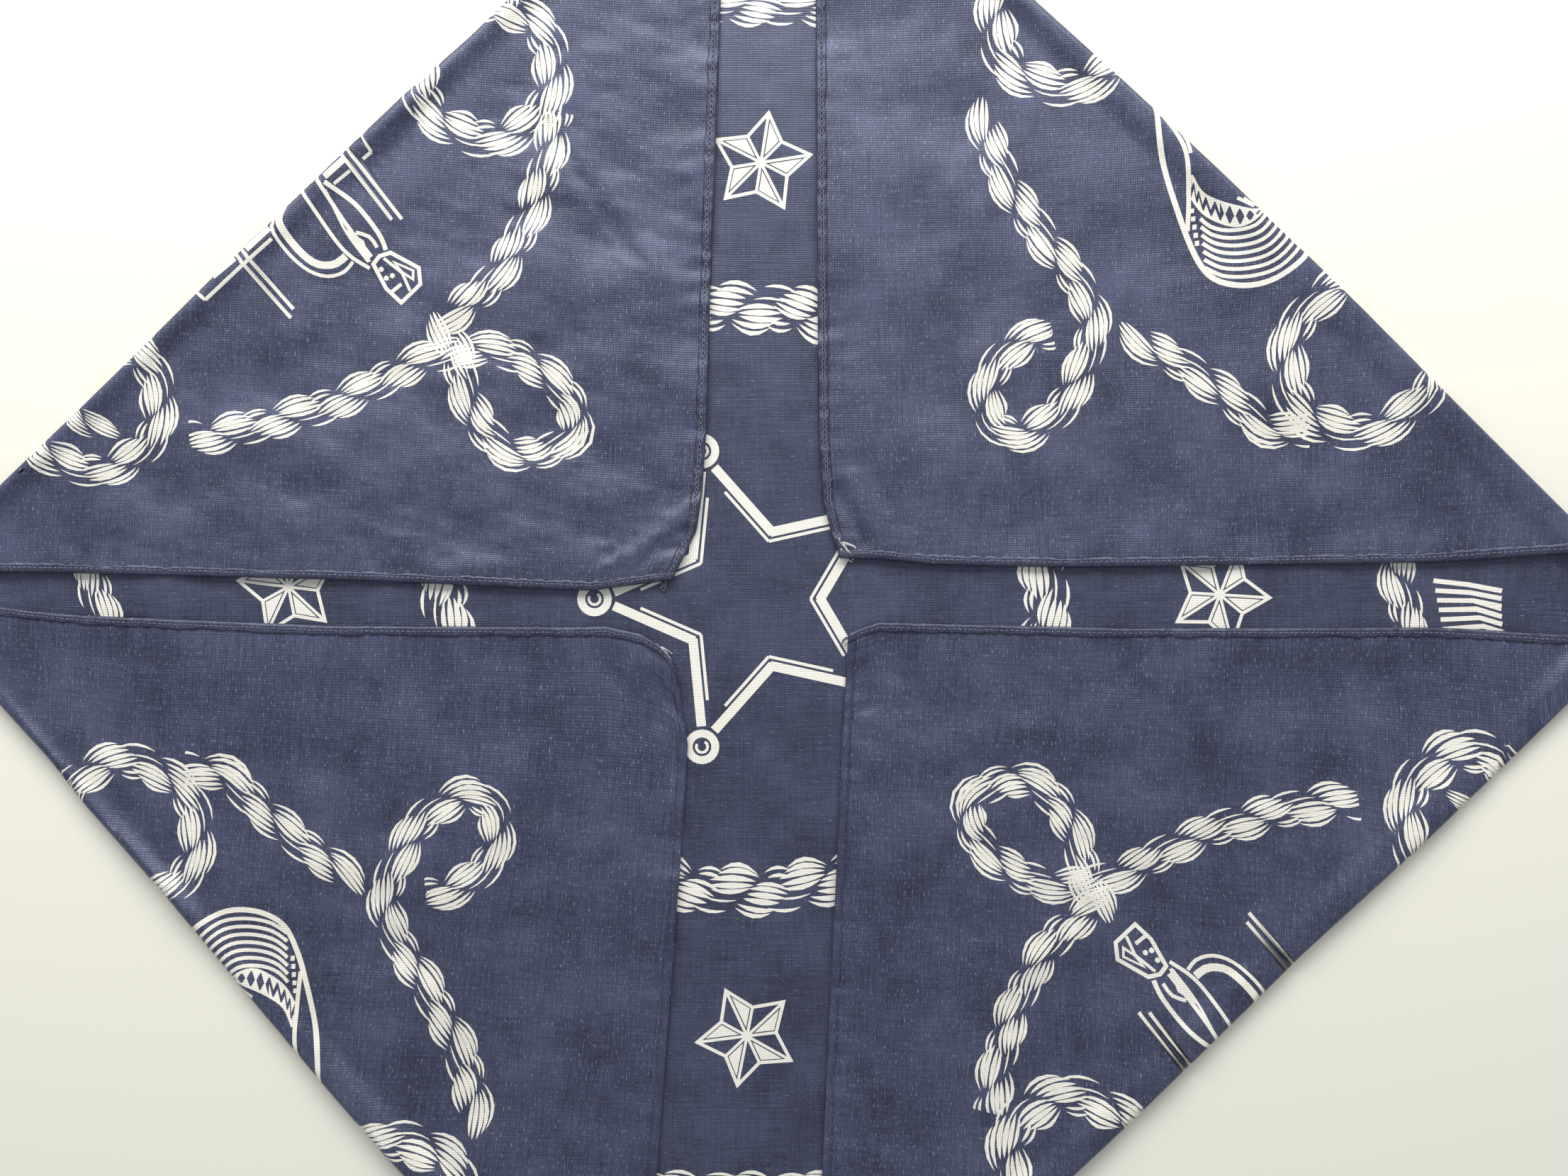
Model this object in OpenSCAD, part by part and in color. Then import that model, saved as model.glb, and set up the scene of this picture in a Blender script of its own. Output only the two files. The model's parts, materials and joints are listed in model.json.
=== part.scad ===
// Square cotton bandana with its four corners folded in to the middle.
// The origin is the middle of the cloth on the surface it lies on, +X is right, +Y is up the cloth.
// Each corner flap turns about its own fold, and lies flat in line with the middle when opened.

/* [Cloth] */
// Width of the finished cloth, from the left hem to the right hem
cloth_w = 559; // [300:1:900]
// Height of the finished cloth, from the top hem to the bottom selvedge
cloth_h = 533; // [300:1:900]
// Thickness of one layer of the cloth
cloth_t = 0.3; // [0.2:0.05:0.6]

/* [Edges] */
// Width of the chain-stitched hem along the top side
top_hem_w = 3.2; // [2:0.1:8]
// Width of the narrow rolled hems along the left and right sides
side_hem_w = 2.8; // [2:0.1:8]
// Width of the woven selvedge along the bottom side
selvedge_w = 3; // [2:0.1:8]
// Thickness of the woven selvedge
selvedge_t = 0.4; // [0.3:0.05:0.8]
// Number of cloth layers in a turned hem
hem_layers = 3; // [2:1:4]

/* [Thread] */
// Width of a row of stitches
thread_w = 0.6; // [0.3:0.1:1]
// Height of a row of stitches
thread_t = 0.2; // [0.1:0.05:0.4]
// Length of the loose thread ends at the cloth's corners
tail_l = 7; // [3:1:15]
// Radius of the knot in the loose thread ends
knot_r = 1; // [0.6:0.1:2]

/* [Folds] */
// Upper left flap: how far its top edge falls short of half the cloth's shorter side
upper_left_top_short = -5; // [-6:1:40]
// Upper left flap: how far its side edge falls short of half the cloth's shorter side
upper_left_side_short = 8; // [3:1:40]
// Upper right flap: how far its top edge falls short of half the cloth's shorter side
upper_right_top_short = 10; // [9:1:40]
// Upper right flap: how far its side edge falls short of half the cloth's shorter side
upper_right_side_short = 13; // [3:1:40]
// Lower right flap: how far its bottom edge falls short of half the cloth's shorter side
lower_right_bottom_short = 7; // [3:1:40]
// Lower right flap: how far its side edge falls short of half the cloth's shorter side
lower_right_side_short = 19; // [3:1:40]
// Lower left flap: how far its bottom edge falls short of half the cloth's shorter side
lower_left_bottom_short = 25; // [12:1:40]
// Lower left flap: how far its side edge falls short of half the cloth's shorter side
lower_left_side_short = 6; // [3:1:40]
// Slack between the layers at a fold
fold_slack = 0.2; // [0.1:0.1:3]
// Room between a fold and the flap that turns about it
fold_gap = 0.3; // [0.2:0.1:1]

/* [Hidden] */

half_w = cloth_w / 2;
half_h = cloth_h / 2;
middle = [0, 0];
hem_t = hem_layers * cloth_t;

// A fold turns round a half circle that clears a hem, with its threads, on each side
fold_r = hem_t + 2 * thread_t + fold_slack;
// A flap's own starting line, inward of the axis of its fold
flap_start = fold_r + fold_gap;
// The hems of the middle stand on their under thread
centre_hem_z = thread_t;
// A flap lies face down at the height that lands its hem level with the middle's when opened
flap_z = 2 * fold_r - hem_t - centre_hem_z;

// The sides of the cloth as lines, each a point and a direction
top_side = [[0, half_h], [1, 0]];
bottom_side = [[0, -half_h], [1, 0]];
left_side = [[-half_w, 0], [0, 1]];
right_side = [[half_w, 0], [0, 1]];

// Half of the cloth's shorter side, which every edge of a flap is measured against
full_edge = min(half_w, half_h);

// A folded corner: where its fold meets the top or bottom, where it meets the side, its corner
function corner(right, up, end_short, side_short) = [
    [right * (half_w - full_edge + end_short), up * half_h],
    [right * half_w, up * (half_h - full_edge + side_short)],
    [right * half_w, up * half_h]
];
upper_left = corner(-1, 1, upper_left_top_short, upper_left_side_short);
upper_right = corner(1, 1, upper_right_top_short, upper_right_side_short);
lower_right = corner(1, -1, lower_right_bottom_short, lower_right_side_short);
lower_left = corner(-1, -1, lower_left_bottom_short, lower_left_side_short);

cloth_colour = [0.36, 0.38, 0.48];
panel_colour = [0.31, 0.32, 0.40];
edge_colour = [0.30, 0.32, 0.42];
thread_colour = [0.62, 0.64, 0.70];
tail_colour = [0.85, 0.83, 0.78];

// Line geometry: a line is a point and a direction
function unit(v) = v / norm(v);
function through(a, b) = [a, unit(b - a)];
function side_normal(l) = [-l[1][1], l[1][0]];
function toward(l, c) = side_normal(l) * ((c - l[0]) * side_normal(l) > 0 ? 1 : -1);
function inset(l, d, c) = [l[0] + d * toward(l, c), l[1]];
function meet(l, m) = l[0] + l[1] * cross(m[0] - l[0], m[1]) / cross(l[1], m[1]);

// A corner's fold line, the place where its tip lies when folded in, and the sides of the flap
function fold_line(c) = through(c[0], c[1]);
function tip(c) = c[2] + 2 * ((c[0] - c[2]) * toward(fold_line(c), middle)) * toward(fold_line(c), middle);
function flap_root(c) = inset(fold_line(c), flap_start, middle);
function end_edge(c) = through(c[0], tip(c));
function side_edge(c) = through(c[1], tip(c));
function flap_middle(c) = (c[0] + c[1] + tip(c)) / 3;
function edge_inset(c, l, d) = inset(l, d, flap_middle(c));

// The plate of a flap, inside its two edge strips
function plate_points(c, end_w) = [
    meet(flap_root(c), edge_inset(c, end_edge(c), end_w)),
    meet(flap_root(c), edge_inset(c, side_edge(c), side_hem_w)),
    meet(edge_inset(c, end_edge(c), end_w), edge_inset(c, side_edge(c), side_hem_w))
];

// A strip along one edge of a flap, mitred where it meets the strip of the other edge
function strip_points(c, edge, w, other, other_w) = [
    meet(flap_root(c), edge),
    meet(flap_root(c), edge_inset(c, edge, w)),
    meet(edge_inset(c, edge, w), edge_inset(c, other, other_w)),
    tip(c)
];

// A row of stitches along the middle of such a strip, stopping short of the other strip
function row_points(c, edge, w, other, other_w) = [
    meet(flap_root(c), edge_inset(c, edge, (w - thread_w) / 2)),
    meet(flap_root(c), edge_inset(c, edge, (w + thread_w) / 2)),
    meet(edge_inset(c, other, other_w), edge_inset(c, edge, (w + thread_w) / 2)),
    meet(edge_inset(c, other, other_w), edge_inset(c, edge, (w - thread_w) / 2))
];

// A band of the middle along one side, between the folds of two corners
function band_points(side, low, high, c1, c2) = [
    meet(inset(side, low, middle), fold_line(c1)),
    meet(inset(side, high, middle), fold_line(c1)),
    meet(inset(side, high, middle), fold_line(c2)),
    meet(inset(side, low, middle), fold_line(c2))
];

module layer(z, t, points) {
    translate([0, 0, z]) linear_extrude(height = t) polygon(points);
}

module centre_band(side, w, z, t, c1, c2) {
    layer(z, t, band_points(side, 0, w, c1, c2));
}

module centre_row(side, w, z, c1, c2) {
    layer(z, thread_t, band_points(side, (w - thread_w) / 2, (w + thread_w) / 2, c1, c2));
}

// Half of a tube, open towards the middle, which joins the panel to a flap
module fold_edge(c) {
    outward = -toward(fold_line(c), middle);
    halfway = (c[0] + c[1]) / 2;
    intersection() {
        translate([halfway[0], halfway[1], fold_r])
            rotate([90, 0, atan2(outward[1], outward[0])])
                linear_extrude(height = norm(c[1] - c[0]) + 8 * fold_r, center = true)
                    difference() {
                        circle(r = fold_r, $fn = 64);
                        circle(r = fold_r - cloth_t, $fn = 64);
                        translate([-2 * fold_r, -2 * fold_r]) square([2 * fold_r, 4 * fold_r]);
                    }
        translate([-half_w, -half_h, 0]) cube([cloth_w, cloth_h, 2 * fold_r]);
    }
}

// The edge strips of a flap: the end strip was the cloth's top or bottom, the side strip its side
module end_strip(c, w, t) {
    layer(flap_z, t, strip_points(c, end_edge(c), w, side_edge(c), side_hem_w));
}

module side_strip(c, end_w) {
    layer(flap_z, hem_t, strip_points(c, side_edge(c), side_hem_w, end_edge(c), end_w));
}

// The flap is face down, so the needle thread is under its hem and the other thread on top
module end_row(c, z) {
    layer(z, thread_t, row_points(c, end_edge(c), top_hem_w, side_edge(c), side_hem_w));
}

module side_row(c, z, end_w) {
    layer(z, thread_t, row_points(c, side_edge(c), side_hem_w, end_edge(c), end_w));
}

// Loose thread ends that fan out from a knot on the tip of a flap
module thread_tail(c, end_w) {
    inner = plate_points(c, end_w)[2];
    out = unit(tip(c) - inner);
    start = tip(c) - knot_r * out;
    translate([start[0], start[1], flap_z + hem_t])
        rotate([0, 0, atan2(out[1], out[0])])
            linear_extrude(height = thread_t)
                union() {
                    circle(r = knot_r, $fn = 32);
                    for (turn = [-40, -10, 25])
                        rotate(turn) translate([0, -thread_w / 4]) square([tail_l, thread_w / 2]);
                }
}

under_z = flap_z - thread_t;
upper_z = flap_z + hem_t;
centre_upper_z = centre_hem_z + hem_t;

module centre_panel() {
    color(panel_colour)
        layer(0, cloth_t, concat(
            [for (c = [upper_left, upper_right]) meet(inset(top_side, top_hem_w, middle), fold_line(c))],
            [for (c = [upper_right, lower_right]) meet(inset(right_side, side_hem_w, middle), fold_line(c))],
            [for (c = [lower_right, lower_left]) meet(inset(bottom_side, selvedge_w, middle), fold_line(c))],
            [for (c = [lower_left, upper_left]) meet(inset(left_side, side_hem_w, middle), fold_line(c))]
        ));
}

module fold_upper_left() { color(cloth_colour) fold_edge(upper_left); }
module fold_upper_right() { color(cloth_colour) fold_edge(upper_right); }
module fold_lower_right() { color(cloth_colour) fold_edge(lower_right); }
module fold_lower_left() { color(cloth_colour) fold_edge(lower_left); }

module hem_top_centre() {
    color(edge_colour) centre_band(top_side, top_hem_w, centre_hem_z, hem_t, upper_left, upper_right);
}
module hem_left_centre() {
    color(edge_colour) centre_band(left_side, side_hem_w, centre_hem_z, hem_t, upper_left, lower_left);
}
module hem_right_centre() {
    color(edge_colour) centre_band(right_side, side_hem_w, centre_hem_z, hem_t, upper_right, lower_right);
}
module selvedge_bottom_centre() {
    color(edge_colour) centre_band(bottom_side, selvedge_w, 0, selvedge_t, lower_left, lower_right);
}
module needle_thread_top_centre() {
    color(thread_colour) centre_row(top_side, top_hem_w, centre_upper_z, upper_left, upper_right);
}
module needle_thread_left_centre() {
    color(thread_colour) centre_row(left_side, side_hem_w, centre_upper_z, upper_left, lower_left);
}
module needle_thread_right_centre() {
    color(thread_colour) centre_row(right_side, side_hem_w, centre_upper_z, upper_right, lower_right);
}
module looper_thread_top_centre() {
    color(thread_colour) centre_row(top_side, top_hem_w, 0, upper_left, upper_right);
}
module bobbin_thread_left_centre() {
    color(thread_colour) centre_row(left_side, side_hem_w, 0, upper_left, lower_left);
}
module bobbin_thread_right_centre() {
    color(thread_colour) centre_row(right_side, side_hem_w, 0, upper_right, lower_right);
}

module flap_upper_left() { color(cloth_colour) layer(flap_z, cloth_t, plate_points(upper_left, top_hem_w)); }
module hem_top_upper_left() { color(edge_colour) end_strip(upper_left, top_hem_w, hem_t); }
module hem_left_upper_left() { color(edge_colour) side_strip(upper_left, top_hem_w); }
module needle_thread_top_upper_left() { color(thread_colour) end_row(upper_left, under_z); }
module needle_thread_left_upper_left() { color(thread_colour) side_row(upper_left, under_z, top_hem_w); }
module looper_thread_top_upper_left() { color(thread_colour) end_row(upper_left, upper_z); }
module bobbin_thread_left_upper_left() { color(thread_colour) side_row(upper_left, upper_z, top_hem_w); }
module thread_tail_upper_left() { color(tail_colour) thread_tail(upper_left, top_hem_w); }

module flap_upper_right() { color(cloth_colour) layer(flap_z, cloth_t, plate_points(upper_right, top_hem_w)); }
module hem_top_upper_right() { color(edge_colour) end_strip(upper_right, top_hem_w, hem_t); }
module hem_right_upper_right() { color(edge_colour) side_strip(upper_right, top_hem_w); }
module needle_thread_top_upper_right() { color(thread_colour) end_row(upper_right, under_z); }
module needle_thread_right_upper_right() { color(thread_colour) side_row(upper_right, under_z, top_hem_w); }
module looper_thread_top_upper_right() { color(thread_colour) end_row(upper_right, upper_z); }
module bobbin_thread_right_upper_right() { color(thread_colour) side_row(upper_right, upper_z, top_hem_w); }
module thread_tail_upper_right() { color(tail_colour) thread_tail(upper_right, top_hem_w); }

module flap_lower_right() { color(cloth_colour) layer(flap_z, cloth_t, plate_points(lower_right, selvedge_w)); }
module selvedge_lower_right() { color(edge_colour) end_strip(lower_right, selvedge_w, selvedge_t); }
module hem_right_lower_right() { color(edge_colour) side_strip(lower_right, selvedge_w); }
module needle_thread_right_lower_right() { color(thread_colour) side_row(lower_right, under_z, selvedge_w); }
module bobbin_thread_right_lower_right() { color(thread_colour) side_row(lower_right, upper_z, selvedge_w); }
module thread_tail_lower_right() { color(tail_colour) thread_tail(lower_right, selvedge_w); }

module flap_lower_left() { color(cloth_colour) layer(flap_z, cloth_t, plate_points(lower_left, selvedge_w)); }
module selvedge_lower_left() { color(edge_colour) end_strip(lower_left, selvedge_w, selvedge_t); }
module hem_left_lower_left() { color(edge_colour) side_strip(lower_left, selvedge_w); }
module needle_thread_left_lower_left() { color(thread_colour) side_row(lower_left, under_z, selvedge_w); }
module bobbin_thread_left_lower_left() { color(thread_colour) side_row(lower_left, upper_z, selvedge_w); }
module thread_tail_lower_left() { color(tail_colour) thread_tail(lower_left, selvedge_w); }

centre_panel();
fold_upper_left();
fold_upper_right();
fold_lower_right();
fold_lower_left();
hem_top_centre();
hem_left_centre();
hem_right_centre();
selvedge_bottom_centre();
needle_thread_top_centre();
needle_thread_left_centre();
needle_thread_right_centre();
looper_thread_top_centre();
bobbin_thread_left_centre();
bobbin_thread_right_centre();
flap_upper_left();
hem_top_upper_left();
hem_left_upper_left();
needle_thread_top_upper_left();
needle_thread_left_upper_left();
looper_thread_top_upper_left();
bobbin_thread_left_upper_left();
thread_tail_upper_left();
flap_upper_right();
hem_top_upper_right();
hem_right_upper_right();
needle_thread_top_upper_right();
needle_thread_right_upper_right();
looper_thread_top_upper_right();
bobbin_thread_right_upper_right();
thread_tail_upper_right();
flap_lower_right();
selvedge_lower_right();
hem_right_lower_right();
needle_thread_right_lower_right();
bobbin_thread_right_lower_right();
thread_tail_lower_right();
flap_lower_left();
selvedge_lower_left();
hem_left_lower_left();
needle_thread_left_lower_left();
bobbin_thread_left_lower_left();
thread_tail_lower_left();
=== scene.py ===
import json
import math

import bpy
import numpy as np
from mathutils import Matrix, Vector
from mathutils.geometry import delaunay_2d_cdt


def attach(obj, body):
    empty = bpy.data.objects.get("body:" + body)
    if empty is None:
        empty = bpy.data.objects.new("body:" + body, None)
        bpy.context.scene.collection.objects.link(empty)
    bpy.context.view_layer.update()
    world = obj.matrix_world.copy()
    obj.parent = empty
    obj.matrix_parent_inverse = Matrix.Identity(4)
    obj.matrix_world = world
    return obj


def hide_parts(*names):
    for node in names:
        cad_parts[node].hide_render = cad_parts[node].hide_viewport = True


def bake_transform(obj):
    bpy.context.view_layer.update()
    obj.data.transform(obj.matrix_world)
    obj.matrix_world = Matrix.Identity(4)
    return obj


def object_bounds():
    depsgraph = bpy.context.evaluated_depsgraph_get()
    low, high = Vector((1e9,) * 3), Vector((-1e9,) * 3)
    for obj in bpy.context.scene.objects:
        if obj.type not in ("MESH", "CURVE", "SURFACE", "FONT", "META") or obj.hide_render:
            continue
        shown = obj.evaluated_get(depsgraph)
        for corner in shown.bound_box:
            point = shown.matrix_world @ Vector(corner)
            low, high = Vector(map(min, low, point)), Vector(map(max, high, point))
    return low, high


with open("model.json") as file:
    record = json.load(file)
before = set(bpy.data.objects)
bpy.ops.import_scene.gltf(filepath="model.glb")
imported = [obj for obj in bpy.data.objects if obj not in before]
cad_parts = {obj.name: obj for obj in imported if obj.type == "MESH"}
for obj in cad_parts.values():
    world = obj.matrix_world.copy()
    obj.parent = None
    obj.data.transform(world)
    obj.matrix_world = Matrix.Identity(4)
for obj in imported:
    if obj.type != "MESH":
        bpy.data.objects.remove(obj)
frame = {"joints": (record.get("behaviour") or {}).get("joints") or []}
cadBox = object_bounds()
mm = 0.001
halfWidth = cadBox[1][0] / mm
halfHeight = cadBox[1][1] / mm

# Camera, floor and light: a soft window on the far side of a pale table
studio = {
    "cameraAt": (0.0112, 0.0036, 0.517),
    "lens": 36,
    "worldColour": "#f3f5fa",
    "worldStrength": 0.47,
    "lampAt": (-0.05, 0.80, 0.55),
    "lampSize": (1.5, 0.45),
    "lampPower": 15.8,
    "lampColour": "#fffdf9",
    "floorColour": "#f0efe2",
    "floorSize": 4.0,
}


def linear(hexColour):
    channels = [int(hexColour[i:i + 2], 16) / 255 for i in (1, 3, 5)]
    return [c / 12.92 if c <= 0.04045 else ((c + 0.055) / 1.055) ** 2.4 for c in channels]


def rgba(hexColour):
    return (*linear(hexColour), 1)


def addNode(material, kind, settings={}, links={}):
    node = material.node_tree.nodes.new(kind)
    for name, value in settings.items():
        if isinstance(name, str) and hasattr(node, name):
            setattr(node, name, value)
        else:
            node.inputs[name].default_value = value
    for socket, source in links.items():
        material.node_tree.links.new(source, node.inputs[socket])
    return node


def newMaterial(name):
    material = bpy.data.materials.new(name)
    material.use_nodes = True
    material.node_tree.nodes.clear()
    return material


def paintedTable():
    # Smooth painted board: matt, almost white, with no grain to see
    material = newMaterial("paintedTable")
    shader = addNode(material, "ShaderNodeBsdfPrincipled", {
        "Base Color": rgba(studio["floorColour"]), "Roughness": 0.7})
    addNode(material, "ShaderNodeOutputMaterial", {}, {"Surface": shader.outputs["BSDF"]})
    return material


def buildStudio():
    scene = bpy.context.scene
    scene.view_settings.view_transform = "Standard"
    camera = bpy.data.objects.new("camera", bpy.data.cameras.new("camera"))
    camera.data.lens = studio["lens"]
    camera.data.sensor_width = 36
    camera.data.clip_start = 0.01
    camera.location = studio["cameraAt"]
    scene.collection.objects.link(camera)
    scene.camera = camera

    world = bpy.data.worlds.new("room")
    world.use_nodes = True
    background = world.node_tree.nodes["Background"]
    background.inputs["Color"].default_value = rgba(studio["worldColour"])
    background.inputs["Strength"].default_value = studio["worldStrength"]
    scene.world = world

    lamp = bpy.data.objects.new("window", bpy.data.lights.new("window", "AREA"))
    lamp.data.shape = "RECTANGLE"
    lamp.data.size, lamp.data.size_y = studio["lampSize"]
    lamp.data.energy = studio["lampPower"]
    lamp.data.color = linear(studio["lampColour"])
    lamp.location = studio["lampAt"]
    lamp.rotation_euler = Vector(studio["lampAt"]).to_track_quat("Z", "Y").to_euler()
    scene.collection.objects.link(lamp)

    half = studio["floorSize"] / 2
    mesh = bpy.data.meshes.new("floor")
    corners = [(-half, -half, 0), (half, -half, 0), (half, half, 0), (-half, half, 0)]
    mesh.from_pydata(corners, [], [(0, 1, 2, 3)])
    mesh.materials.append(paintedTable())
    floor = bpy.data.objects.new("floor", mesh)
    scene.collection.objects.link(floor)


buildStudio()
print("studio ready")

# The cloth as a surface: where each flat point of the square lies when the corners are folded in
cloth = {
    "thickness": 0.3,
    "tableGap": 0.2,         # middle of the cloth above the table where it lies flattest
    "hemLift": 0.8,          # how far a hem and its under thread hold the middle off the table
    "foldRadius": 2.1,
    "foldRadiusVary": 0.35,
    "foldPuff": 7.0,         # how far in from a fold the flap takes to settle
    "flapGap": 0.8,          # a settled flap above the middle
    "flapSwell": 0.52,       # broad soft waves in a flap
    "creaseSwell": 0.40,     # smaller waves left by washing
    "fineSwell": 0.11,
    "pucker": 0.16,          # short waves that the seams pull up beside them
    "ceiling": 2.6,          # a flap stands no higher, so that it clears the table when it is opened
    "ceilingSoftness": 0.2,
    "bowReach": 45,          # how far in from a fold its bow fades out
    "edgeReach": 45,         # how far in from a flap's edge the drawing back of that edge fades out
}

# How far each fold bows in from a straight line, or out where negative: along the fold, then the bow
foldBow = {
    "flap_upper_left": [(-200, 0), (-70, 0.6), (-40, -0.6), (40, -0.4), (110, 0.8), (200, 1)],
    "flap_upper_right": [(-200, -3.5), (-150, -3.8), (-60, -4.3), (0, -3.7), (40, -2.4), (80, -0.8),
                         (200, 0)],
    "flap_lower_right": [(-200, -4), (-30, -4.8), (0, -4.5), (40, -3.8), (90, -5), (150, -4.6), (200, -4)],
    "flap_lower_left": [(-200, 5), (-110, 3.9), (-90, 2.2), (-50, 1.2), (-10, -0.9), (30, -2.9), (60, -3.8),
                        (200, -3)],
}

# What each flap does at its edges: pairs of distance from the tip and how far the edge is drawn back,
# then how far it lifts, and the ridges and valleys near it as start, end, height and width
flapShape = {
    "flap_upper_left": {
        "sideShift": [(0, 11), (30, 6), (110, 5.6), (200, 3.5), (260, 2)],
        "endShift": [(0, 4), (8, 1), (21, -2.6), (38, -3.6), (60, -4), (110, -3), (260, -1)],
        "sideLift": [(0, 1.2), (40, 1.0), (120, 0.7), (260, 0.9)],
        "endLift": [(0, 0.8), (40, 0.3), (260, 0.2)],
        "lines": [((-75, 167), (-38, 112), -0.55, 2.6), ((-70, 165), (-31, 108), 0.4, 5.0),
                  ((-16, 32), (-50, 6), 1.1, 2.8), ((-36, 21), (-52, 10), -0.6, 2.2)],
    },
    "flap_upper_right": {
        "sideShift": [(0, 3.4), (12, 3.2), (35, 1.0), (75, -0.4), (150, -0.4), (260, 0)],
        "endShift": [(0, 3.6), (8, 1), (20, -1.6), (45, -2.8), (120, -2.6), (260, -1.5)],
        "sideLift": [(0, 0.8), (60, 0.6), (150, 0.8), (260, 0.8)],
        "endLift": [(0, 0.5), (40, 0.3), (260, 0.2)],
        "lines": [((28, 36), (38, 19), -0.7, 2.8), ((33, 40), (45, 20), 0.5, 3.6),
                  ((56, 21), (60, 36), 0.3, 3.0)],
    },
    "flap_lower_right": {
        "sideShift": [(0, 4.2), (4, 2.4), (10, 0), (37, -0.6), (90, -1.8), (169, -5.7), (238, -9.5),
                      (260, -9.5)],
        "endShift": [(0, 0), (260, 0)],
        "sideLift": [(0, 0.7), (40, 0.5), (260, 0.4)],
        "endLift": [(0, 0.5), (40, 0.2), (260, 0.2)],
        "lines": [((34, -13), (48, -30), 0.6, 3.2), ((30, -22), (38, -34), -0.5, 3.0)],
    },
    "flap_lower_left": {
        "sideShift": [(0, 0), (1, -3.1), (2, -5.1), (4, -7.8), (7, -10.3), (13, -13.2), (26, -14.6),
                      (41, -13.2), (119, -7.8), (222, -4.3), (260, -3)],
        "endShift": [(0, 4), (10, 2), (22, -1), (60, -1.5), (260, -1.5)],
        "sideLift": [(0, 0.7), (40, 0.6), (260, 0.6)],
        "endLift": [(0, 0.5), (40, 0.2), (260, 0.2)],
        "lines": [((-30, -17), (-44, -30), 0.6, 3.4), ((-26, -30), (-36, -46), -0.4, 3.2)],
    },
}


def readFold(joint, number):
    along = np.array(joint["axis"][:2])
    inward = np.array([-along[1], along[0]])
    return {
        "flap": joint["child"], "number": number, "at": np.array(joint["pos_m"][:2]) / mm,
        "along": along, "inward": inward, "height": joint["pos_m"][2],
    }


folds = [readFold(joint, number) for number, joint in enumerate(frame["joints"])]


def ease(x):
    x = np.clip(x, 0, 1)
    return x * x * (3 - 2 * x)


def fade(distance, reach):
    return 1 - ease(distance / reach)


def ripple(x, y, wave, seed):
    # Soft random waves of about one wavelength, seldom beyond -1 and 1
    pick = np.random.default_rng(seed)
    total = 0
    for _ in range(8):
        turn = pick.uniform(0, 2 * math.pi)
        rate = 2 * math.pi / (wave * pick.uniform(0.7, 1.5))
        total = total + np.sin(rate * (math.cos(turn) * x + math.sin(turn) * y) + pick.uniform(0, 7))
    return total / 3


def lineDistance(points, start, end):
    start, end = np.array(start, float), np.array(end, float)
    run = end - start
    share = np.clip((points - start) @ run / (run @ run), 0, 1)
    return np.linalg.norm(points - start - share[:, None] * run, axis=1)


def centreHeight(points):
    x, y = points[:, 0], points[:, 1]
    waves = 0.16 * (1 + ripple(x, y, 80, 11)) + 0.05 * (1 + ripple(x, y, 17, 12))
    edge = np.minimum(np.minimum(halfWidth - x, halfWidth + x), halfHeight - y)
    return cloth["tableGap"] + np.maximum(waves, 0) + cloth["hemLift"] * fade(edge - 3, 11)


def flapHeight(fold, flat, points):
    seed = 30 + 10 * fold["number"]
    u, v = flat[:, 0], flat[:, 1]
    swell = cloth["flapSwell"] * (1 + ripple(u, v, 85, seed))
    small = cloth["creaseSwell"] * ripple(u, v, 27, seed + 1)
    fine = cloth["fineSwell"] * ripple(u, v, 9, seed + 2)
    return centreHeight(points) + cloth["flapGap"] + np.maximum(swell, 0) + small + fine


def shiftFlap(fold, flat, place):
    # Draws the edges of a flap back, lifts them, and presses its ridges and valleys in
    shape = flapShape[fold["flap"]]
    side = halfWidth - np.abs(flat[:, 0])
    end = halfHeight - np.abs(flat[:, 1])
    up = np.sign(fold["at"])
    sideShift = np.interp(end, *zip(*shape["sideShift"])) * fade(side, cloth["edgeReach"])
    endShift = np.interp(side, *zip(*shape["endShift"])) * fade(end, cloth["edgeReach"])
    place[:, 0] += up[0] * endShift
    place[:, 1] += up[1] * sideShift
    place[:, 2] += np.interp(end, *zip(*shape["sideLift"])) * fade(side, 14)
    place[:, 2] += np.interp(side, *zip(*shape["endLift"])) * fade(end, 14)
    pucker = ripple(end, side / 6, 6, 5 + fold["number"]) * fade(side, 16)
    pucker += ripple(side, end / 6, 6, 15 + fold["number"]) * fade(end, 16)
    place[:, 2] += cloth["pucker"] * pucker
    for start, finish, height, width in shape["lines"]:
        place[:, 2] += height * np.exp(-(lineDistance(place[:, :2], start, finish) / width) ** 2)
    inward = (place[:, :2] - fold["at"]) @ fold["inward"]
    soft = cloth["ceilingSoftness"]
    over = soft * np.logaddexp(0, (place[:, 2] - cloth["ceiling"]) / soft)
    place[:, 2] -= over * ease((inward - 4) / 7)
    return place


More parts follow.
